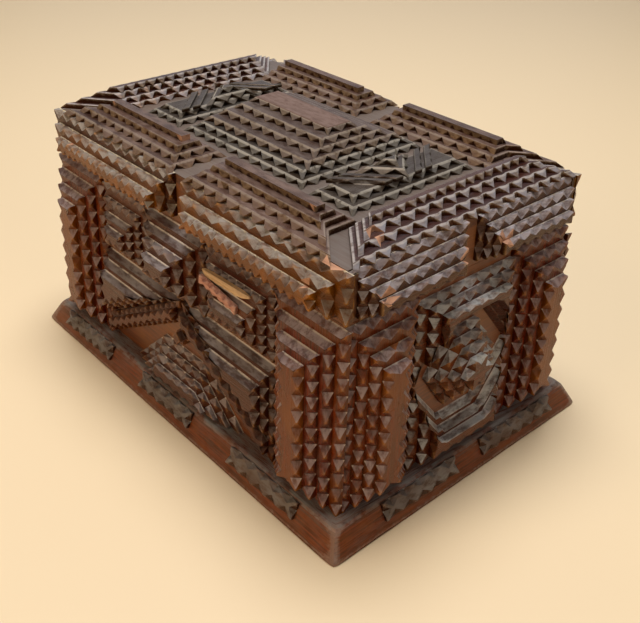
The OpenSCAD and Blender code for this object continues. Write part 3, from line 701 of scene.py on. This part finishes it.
LEDGED = np.array([1, 1, -1, 1])
PENDANT_LOW, PENDANT_HIGH = -34.5, 24.0
PENDANT_STEPS = np.array([5, 6.5, 6.5, 5])
BOSS_STEPS = np.array([4, 5, 7.5, 5])
FILL_TOP, FILL_SLANT, FILL_SIDE = -5.5, 3, 2.5
GABLE_W = 15.0
KEY_HALF, KEY_DROP = 7.0, 2.0
MOUND_TOP_HALF = 23.0
THIN_LAYERS = 4
for face in LONG_SIDES:
    low, high = node_box(f"{face}_pendant", face)
    hanging = rectangle((PENDANT_LOW, low[1]), (PENDANT_HIGH, high[1]))
    steps = PENDANT_STEPS
    carve(f"{face}_pendant", face, [
        (hanging, steps * LEDGED, 2, 0), (inset(hanging, 2 * steps), steps, 1, 2),
        (inset(hanging, 3 * steps), steps * LEDGED, 1, 3)], FRONT_CARVED)
    for side in ENDS:
        low, high = node_box(f"{face}_{side}_boss", face)
        thin = (high[2] - low[2]) / THIN_LAYERS - GLUE
        if low[0] < 0:
            block = rectangle(low, (PENDANT_LOW - STACK_GAP, high[1]))
        else:
            block = rectangle((PENDANT_HIGH + STACK_GAP, low[1]), high)
        steps = BOSS_STEPS
        carve(f"{face}_{side}_boss", face, [
            (block, steps, 2, 0), (inset(block, 2 * steps), steps * LEDGED, 2, 2)],
            FRONT_CARVED, thickness=thin, spacings=(0.8, 0.62))
        low, high = node_box(f"{face}_{side}_fill", face)
        if low[0] < 0:
            corners = np.array([[low[0], high[1]], [low[0], low[1]], [high[0], high[1]]])
            steps = (FILL_SIDE, FILL_SLANT, FILL_TOP)
        else:
            corners = np.array([[high[0], high[1]], [low[0], high[1]], [high[0], low[1]]])
            steps = (FILL_TOP, FILL_SLANT, FILL_SIDE)
        carve(f"{face}_{side}_fill", face, [(corners, steps, 3, 0)], FRONT_CARVED)
    low, high = node_box(f"{face}_gable", face)
    arm = np.array([[STACK_GAP, high[1] - GABLE_W], [high[0], low[1]], [high[0], low[1] + GABLE_W],
                    [STACK_GAP, high[1]]])
    key_top = high[1] - GABLE_W - KEY_DROP
    key = diamond((-KEY_HALF, key_top - 2 * KEY_HALF), (KEY_HALF, key_top))
    carve(f"{face}_gable", face, [
        (arm, (3,) * 4, 2, 0), (mirrored(arm), (3,) * 4, 2, 0), (key, (2,) * 4, 2, 0)],
        SHADE_PAINTED_GABLE_WOOD, spacings=(0.7, 0.8))
    low, high = node_box(f"{face}_mound", face)
    thin = (high[2] - low[2]) / THIN_LAYERS - GLUE
    mound = np.array([[low[0], low[1]], [high[0], low[1]], [MOUND_TOP_HALF, high[1]],
                      [-MOUND_TOP_HALF, high[1]]])
    carve(f"{face}_mound", face, [(mound, (1.6, 4.6, 5.2, 4.6), THIN_LAYERS, 0)], FRONT_CARVED,
          thickness=thin, spacings=(1.0, 0.9, 0.9, 0.8))

# Ends: a boss in a six-sided opening between the two halves of a frame

BOSS_FLAT = 24.0
OPENING_HALF, OPENING_RISE = 14.0, 31.0
for face in ENDS:
    low, high = node_box(f"{face}_boss", face)
    middle = (low[1] + high[1]) / 2
    carve(f"{face}_boss", face, [(hexagon(low, high, BOSS_FLAT), (4.6,) * 6, 4, 0)], END_CARVED)
    low, high = node_box(f"{face}_frame", face)
    halves = []
    for sign, reach in ((1, high[1] - middle), (-1, middle - low[1])):
        half = np.array([[low[0], STACK_GAP], [-OPENING_HALF, OPENING_RISE], [OPENING_HALF, OPENING_RISE],
                         [high[0], STACK_GAP], [high[0], reach], [low[0], reach]])
        steps = (-3, -3, -3, 6, 4, 6)
        if sign < 0:
            half = half[::-1] * np.array([1, -1])
            steps = (4, 6, -4.6, -4.6, -4.6, 6)
        halves.append((half + np.array([0, middle]), steps, 3, 0))
    carve(f"{face}_frame", face, halves, END_CARVED)


def splinter(start, end, width, height, random):
    """A torn sliver of wood, a ring of five points carried along a line; the ring at t is scaled by
    1 - |2 t - 1| ** 9 with slightly ragged noise, and its foot stays flat on the plates below."""
    count = 18
    t = np.linspace(0, 1, count)
    start = np.asarray(start, float)
    along = np.asarray(end, float) - start
    sideways = np.array([-along[1], along[0], 0]) / np.linalg.norm(along[:2])
    swell = np.maximum(0.3, (1 - np.abs(2 * t - 1) ** 9) * (1 + random.normal(0, 0.03, count)))
    wander = np.cumsum(random.normal(0, 0.05, count))
    across = np.array([-0.5, 0.5, 0.46, 0.05, -0.42])
    lift = np.array([0.0, 0.0, 0.75, 1.0, 0.85])
    middle = start + along * t[:, None] + sideways * wander[:, None]
    ragged = 1 + random.normal(0, 0.04, (count, 5))
    ring = (middle[:, None] + sideways * (across * ragged * swell[:, None] * width)[..., None]
            + np.array([0, 0, 1.0]) * (lift * ragged * swell[:, None] * height)[..., None])
    points = ring.reshape(-1, 3)
    here = np.arange(5)
    faces = [*ring_quads(0, count - 1, 5), here[::-1].tolist(), (5 * (count - 1) + here).tolist()]
    grain = np.column_stack([np.repeat(t, 5) * np.linalg.norm(along), np.tile(across * width * 2, count),
                             np.tile(lift * height * 2, count)])
    zero = np.zeros(len(points))
    return {"points": points, "faces": faces, "grain": grain, "wear": zero + 0.4, "grime": zero,
            "tone": zero + 0.5, "rise": zero + 1, "bare": np.full(len(faces), 0.3)}


# A torn sliver and a loose notched strip on the steps of the front right boss, places in millimetres
TORN = seeded("splinters")
low, high = node_box("front_right_boss", "front")
level = (high[2] - low[2]) / THIN_LAYERS
boss_origin = FACES["front"][2] * (face_plane("front") + GLUE)
sliver = splinter((28, 116.4, 2 * level), (70, 118.2, 2 * level), 4.2, 3.2, TORN)
loose = np.array([[30.5, 110.6], [62.5, 105.6], [63.3, 110.8], [31.3, 116.0]])
strip = carved_plate(loose, (NOTCHED, PLAIN, NOTCHED, PLAIN), 3 * level, TORN, 0.35, THIN_STRIP, 0.6)
for name, plate, wood in (("splinter", sliver, SPLIT_WOOD), ("strip", strip, PINK_SPLIT)):
    make_piece("front-right-" + name, [plate], FACES["front"], boss_origin, wood, "case", [])

# Lid fascias, in two halves. Those of the long sides end on corner posts, and their outer row is finer.

FASCIA_LEVELS = 3
FASCIA_START = 5.0
POST_IN, POST_W, POST_SHORT, POST_DEEP = 0.5, 3.5, 0.6, 3.4
for face in (*LONG_SIDES, *ENDS):
    low, high = node_box(f"lid_{face}_fascia", face)
    half = rectangle((FASCIA_START, low[1]), (high[0], high[1]))
    long_side = face in LONG_SIDES
    posts = []
    if long_side:
        layers, steps, wood, spacings = 3, (2, 8, 6.5, 5), FASCIA, (1.0, 1.06, 0.64)
        post = rectangle((high[0] - POST_IN - POST_W, low[1] + POST_SHORT),
                         (high[0] - POST_IN, high[1] - POST_SHORT))
        post_random = seeded(f"lid_{face}_fascia posts")
        posts = [carved_plate(outline, (PLAIN,) * 4, -POST_DEEP, post_random, thickness=POST_DEEP)
                 for outline in (post, mirrored(post))]
    else:
        layers, steps, wood, spacings = 4, (1.2, 3.9, 5.2, 3.4), DULL_FASCIA, EVEN
    carve(f"lid_{face}_fascia", face, [
        (half, steps, layers, 0), (mirrored(half), mirrored_steps(steps), layers, 0)],
        wood, "lid", extra=posts, spacings=spacings, golden=long_side,
        thickness=FASCIA_LEVELS * (LAYER + GLUE) / layers - GLUE)

# Lid stacks, whose ends at the lid's corners are mitred, with a bare strip between them. The elbow of an edge
# stack lies on the end stack's mitre line, carried on past the gap between them, less the bare strip.

END_LOW, END_HIGH = node_box("lid_right_stack", "top")
EDGE_LOW, EDGE_HIGH = node_box("lid_front_right_stack", "top")
END_CUT = 28.0
END_W = 33.0
CORNER_BARE = 13.0
TOP_SPACINGS = (1.05, 1.0, 0.93, 0.76)
elbow = END_LOW[1] + END_CUT * (END_W + STACK_GAP) / END_W - CORNER_BARE
edge_end = END_LOW[0] - STACK_GAP
end_stack = np.array([[END_LOW[0], END_LOW[1] + END_CUT], [END_HIGH[0], END_LOW[1]],
                      [END_HIGH[0], END_HIGH[1]], [END_LOW[0], END_HIGH[1] - END_CUT]])
end_steps = (-3, 5.2, -3, 3.2)
for node, outline in (("lid_right_stack", end_stack), ("lid_left_stack", -end_stack)):
    carve(node, "top", [(outline, end_steps, 4, 0)], LID_END, "lid", spacings=TOP_SPACINGS, gap=0.22)
edge_stack = np.array([[EDGE_LOW[0], EDGE_LOW[1]], [EDGE_HIGH[0], EDGE_LOW[1]], [edge_end, elbow],
                       [edge_end, EDGE_HIGH[1]], [EDGE_LOW[0], EDGE_HIGH[1]]])
edge_steps = (6.2, -2, -2.7, 5.2, 4.8)
other_stack, other_steps = mirrored(edge_stack), mirrored_steps(edge_steps)
for corner, outline, steps in (
        ("front_right", edge_stack, edge_steps), ("back_left", -edge_stack, edge_steps),
        ("front_left", other_stack, other_steps), ("back_right", -other_stack, other_steps)):
    carve(f"lid_{corner}_stack", "top", [(outline, steps, 4, 0)], LID_EDGE, "lid",
          spacings=TOP_SPACINGS, blunt=0.28)

# Lid middle: terrace, pyramid, and the end blocks with half diamonds and slanting strips

TERRACE_STEPS = (5,) * 4
LADDER_W = 4.0
LADDER_PLACES = (3.2, 9.0)
low, high = node_box("lid_terrace", "top")
carve("lid_terrace", "top", [(rectangle(low, high), TERRACE_STEPS, 2, 0)], LID_MIDDLE, "lid")
low, high = node_box("lid_pyramid", "top")
carve("lid_pyramid", "top", [(rectangle(low, high), (8.5, 4, 8.5, 4), 4, 2)], PYRAMID, "lid", "worn_wood",
      bare_top=0.75)
for side in ENDS:
    low, high = node_box(f"lid_{side}_block", "top")
    carve(f"lid_{side}_block", "top", [(rectangle(low, high), TERRACE_STEPS, 2, 0)], LID_MIDDLE, "lid")
    low, high = node_box("lid_right_diamond", "top")
    reach = high[0] - low[0]
    point = np.array([[low[0], -reach], [high[0], 0], [low[0], reach]])
    steps = (5.5, 5.5, 4.2)
    strips = []
    for away in LADDER_PLACES:
        near, far = away * np.sqrt(2), (away + LADDER_W) * np.sqrt(2)
        back = np.array([[low[0], reach + near], [high[0], near], [high[0], far], [low[0], reach + far]])
        strips += [(back, (PLAIN, PLAIN, NOTCHED, PLAIN)),
                   (back[::-1] * np.array([1, -1]), (NOTCHED, PLAIN, PLAIN, PLAIN))]
    if side == "left":
        point, steps = mirrored(point), mirrored_steps(steps)
        strips = [(mirrored(outline), mirrored_steps(edges)) for outline, edges in strips]
    strip_random = seeded(f"lid_{side}_diamond strips")
    ladder = [carved_plate(outline, edges, 2 * (TOP_LAYER + GLUE), strip_random, thickness=THIN_STRIP)
              for outline, edges in strips]
    carve(f"lid_{side}_diamond", "top", [(point, steps, 2, 2)], LID_MIDDLE, "lid", extra=ladder)

# Plinth strips, which lie on the sloping sides: where each starts and ends along a long side or an end

LONG_STRIPS = ((-128, -70), (-34, 20), (59, 117))
END_STRIPS = ((-66, -8), (14, 80))
STRIP_W, STRIP_BELOW, STRIP_DEEP = 10.0, 1.0, 2.4
PLINTH_HIGH = np.array(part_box("base_board")[1]) / MM
PLINTH_BEVEL = 8.0
PLINTH_H = PLINTH_HIGH[2]
LEAN = np.arctan2(PLINTH_BEVEL, PLINTH_H)
SLOPE = np.hypot(PLINTH_BEVEL, PLINTH_H)
strips = []
strip_random = seeded("plinth_strips")
for face in ("front", "right", "back", "left"):
    along, up, outward = FACES[face]
    reach, places = (PLINTH_HIGH[1], LONG_STRIPS) if face in LONG_SIDES else (PLINTH_HIGH[0], END_STRIPS)
    tilted = np.array([along, up * np.cos(LEAN) - outward * np.sin(LEAN),
                       outward * np.cos(LEAN) + up * np.sin(LEAN)])
    for start, end in places:
        strip = rectangle((start, SLOPE - STRIP_BELOW - STRIP_W), (end, SLOPE - STRIP_BELOW))
        plate = carved_plate(strip, (NOTCHED,) * 4, GLUE, strip_random, thickness=STRIP_DEEP)
        plate["points"] = outward * reach + plate["points"] @ tilted
        strips.append(plate)


def worn_plinth():
    """The plinth board as rings round its sloping sides. A ring at height z lies bevel z / h inside the foot,
    and further in by its own extra, which rounds the two arrises; all wander inwards by up to 0.3 mm. The
    last ring lies on the level top under the case walls, and the box's floor inside it is less stained."""
    random = seeded("base_board")
    around = 640
    half = PLINTH_HIGH[:2]
    heights = np.array([0.0, 0.5, 1.6, 4.0, 7.0, 10.0, 12.5, 14.3, 15.5, 16.0, 16.0]) * PLINTH_H / 16
    extra = np.array([0.9, 0.3, 0.0, 0.0, 0.0, 0.0, 0.0, 0.1, 0.6, 1.7, 18.0])
    turn = np.linspace(0, 2 * np.pi, around, endpoint=False)
    square = np.stack([np.cos(turn), np.sin(turn)], 1)
    square /= np.abs(square).max(1, keepdims=True)
    off_corner = np.abs(np.abs(square[:, 0]) - np.abs(square[:, 1]))
    rounding = 1 - 0.006 * np.exp(-(off_corner / 0.02) ** 2)
    waves = sum(random.normal(0, 1) * np.sin(k * turn + random.uniform(0, 6.3)) / k ** 0.5
                for k in range(5, 60))
    waves = 0.3 * (waves - waves.min()) / np.ptp(waves)
    rings = []
    for z, more in zip(heights, extra):
        reach = half - PLINTH_BEVEL * z / PLINTH_H - more
        ring = square * (reach - waves[:, None] * random.uniform(0.5, 1.0)) * rounding[:, None]
        rings.append(np.column_stack([ring, np.full(around, z)]))
    points = np.concatenate(rings)
    count = len(heights)
    here = np.arange(around)
    faces = [*ring_quads(0, count - 1, around), ((count - 1) * around + here).tolist(), here[::-1].tolist()]
    on_end = np.abs(points[:, 0]) / half[0] > np.abs(points[:, 1]) / half[1]
    grain = np.column_stack([np.where(on_end, points[:, 1], points[:, 0]), points[:, 2] * 1.2,
                             np.zeros(len(points))])
    grain[-around:, :2] = points[-around:, :2]
    bare = np.zeros(len(faces))
    bare[-2] = 0.5
    corner = np.tile(np.exp(-(off_corner / 0.05) ** 2), count)
    level = np.repeat(heights / PLINTH_H, around)
    edge = np.exp(-((level - 0.1) / 0.1) ** 2) + np.exp(-((level - 0.94) / 0.06) ** 2)
    # The grime value is full at the foot and gone a quarter of the way up, so the plinth is darker towards
    # the bottom.
    return {"points": points, "faces": faces, "grain": grain, "wear": np.clip(0.9 * edge + corner, 0, 1),
            "grime": np.clip(1 - level * 4, 0, 1), "tone": np.full(len(points), 0.5),
            "rise": np.ones(len(points)), "bare": bare}


for node, plates, wood in (
        ("plinth_strips", strips, PLINTH_STRIP), ("base_board", [worn_plinth()], PLINTH_WOOD)):
    make_piece(node.replace("_", "-"), plates, np.eye(3), np.zeros(3), wood, "case", [node])


def dress(nodes, material):
    """Gives CAD nodes that keep their own shape a better material."""
    for node in nodes:
        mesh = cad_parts[node].data
        mesh.materials.clear()
        mesh.materials.append(material)


DUST_HEIGHT = face_plane("top") - 0.2
LID_BOARD = board_wood("greyed lid board", "3a1a0e", "64341a", "7a4c24", 0, 0.42, "685e52", DUST_HEIGHT)
dress(["lid_board"], LID_BOARD)
dress(["front_wall", "back_wall", "lid_front_rim", "lid_back_rim"], LONG_BOARD)
dress(["left_wall", "right_wall", "lid_left_rim", "lid_right_rim"], CROSS_BOARD)
dress([f"{side}_hinge_{part}" for side in ENDS for part in ("lower_leaf", "upper_leaf", "pin")], BRASS)
dress(["case_hinge_nails", "lid_hinge_nails"], STEEL)

# Stage, light and camera, in metres

PHOTO_WIDTH = 640
SENSOR = 36.0
FLOOR = 6
AIM = np.array([0, 0, 0.1])

floor_mesh = bpy.data.meshes.new("floor")
floor_mesh.from_pydata([(-FLOOR, -FLOOR, 0), (FLOOR, -FLOOR, 0), (FLOOR, FLOOR, 0), (-FLOOR, FLOOR, 0)], [],
                       [(0, 1, 2, 3)])
floor_finish = {"Base Color": colour("ecd3a8"), "Roughness": 0.55}
floor_mesh.materials.append(new_material("pale floor", floor_finish)[0])
floor = bpy.data.objects.new("floor", floor_mesh)
bpy.context.collection.objects.link(floor)

world = bpy.data.worlds.new("studio")
world.use_nodes = True
glow = world.node_tree.nodes["Background"].inputs
glow["Color"].default_value = colour("e8dccc")
glow["Strength"].default_value = 0.12
bpy.context.scene.world = world


def set_up(name, data, right, up, back, place):
    """Puts a lamp or camera into the scene, with its three axes and its place."""
    holder = bpy.data.objects.new(name, data)
    bpy.context.collection.objects.link(holder)
    turn = np.eye(4)
    turn[:3] = np.column_stack([right, up, back, place])
    holder.matrix_world = Matrix(turn.tolist())
    return holder


def soft_light(name, place, size, watts, code):
    """A square area lamp that faces the middle of the box; its third axis is place - aim."""
    lamp = bpy.data.lights.new(name, "AREA")
    lamp.size = size
    lamp.energy = watts
    lamp.color = colour(code)[:3]
    back = np.array(place) - AIM
    back /= np.linalg.norm(back)
    side = np.cross([0, 0, 1], back)
    side /= np.linalg.norm(side)
    set_up(name, lamp, side, np.cross(back, side), back, place)


soft_light("ceiling", (-0.1, 0.1, 1.7), 0.8, 29.0, "f4f6ff")
soft_light("wall", (-1.3, 1.2, 0.9), 1.8, 6.0, "eef2ff")
soft_light("room", (-0.3, -1.6, 0.9), 1.2, 12.0, "ffe8cc")
soft_light("side", (1.6, 0.1, 0.9), 1.2, 5.6, "f8f0f0")


def aimed_camera(target, azimuth, elevation, roll, distance, focal, lift):
    """The photograph's viewpoint: the eye lies distance behind the target along
    (sin a cos e, -cos a cos e, sin e); the picture is rolled, and moved up by lift of its 640 pixels."""
    back = np.array([np.sin(azimuth) * np.cos(elevation), -np.cos(azimuth) * np.cos(elevation),
                     np.sin(elevation)])
    right = np.array([np.cos(azimuth), np.sin(azimuth), 0.0])
    up = np.cross(back, right)
    lens = bpy.data.cameras.new("camera")
    lens.sensor_fit = "HORIZONTAL"
    lens.sensor_width = SENSOR
    lens.lens = focal / PHOTO_WIDTH * SENSOR
    lens.shift_y = -lift / PHOTO_WIDTH
    lens.clip_start = 0.01
    return set_up("camera", lens, np.cos(roll) * right + np.sin(roll) * up,
                  np.cos(roll) * up - np.sin(roll) * right, back, np.array(target) + distance * back)


bpy.context.scene.camera = aimed_camera(
    (-0.0225, 0.0381, 0.0832), azimuth=0.8288, elevation=0.4709, roll=0.0296, distance=0.6322, focal=925.7,
    lift=90)
bpy.context.scene.view_settings.view_transform = "Standard"
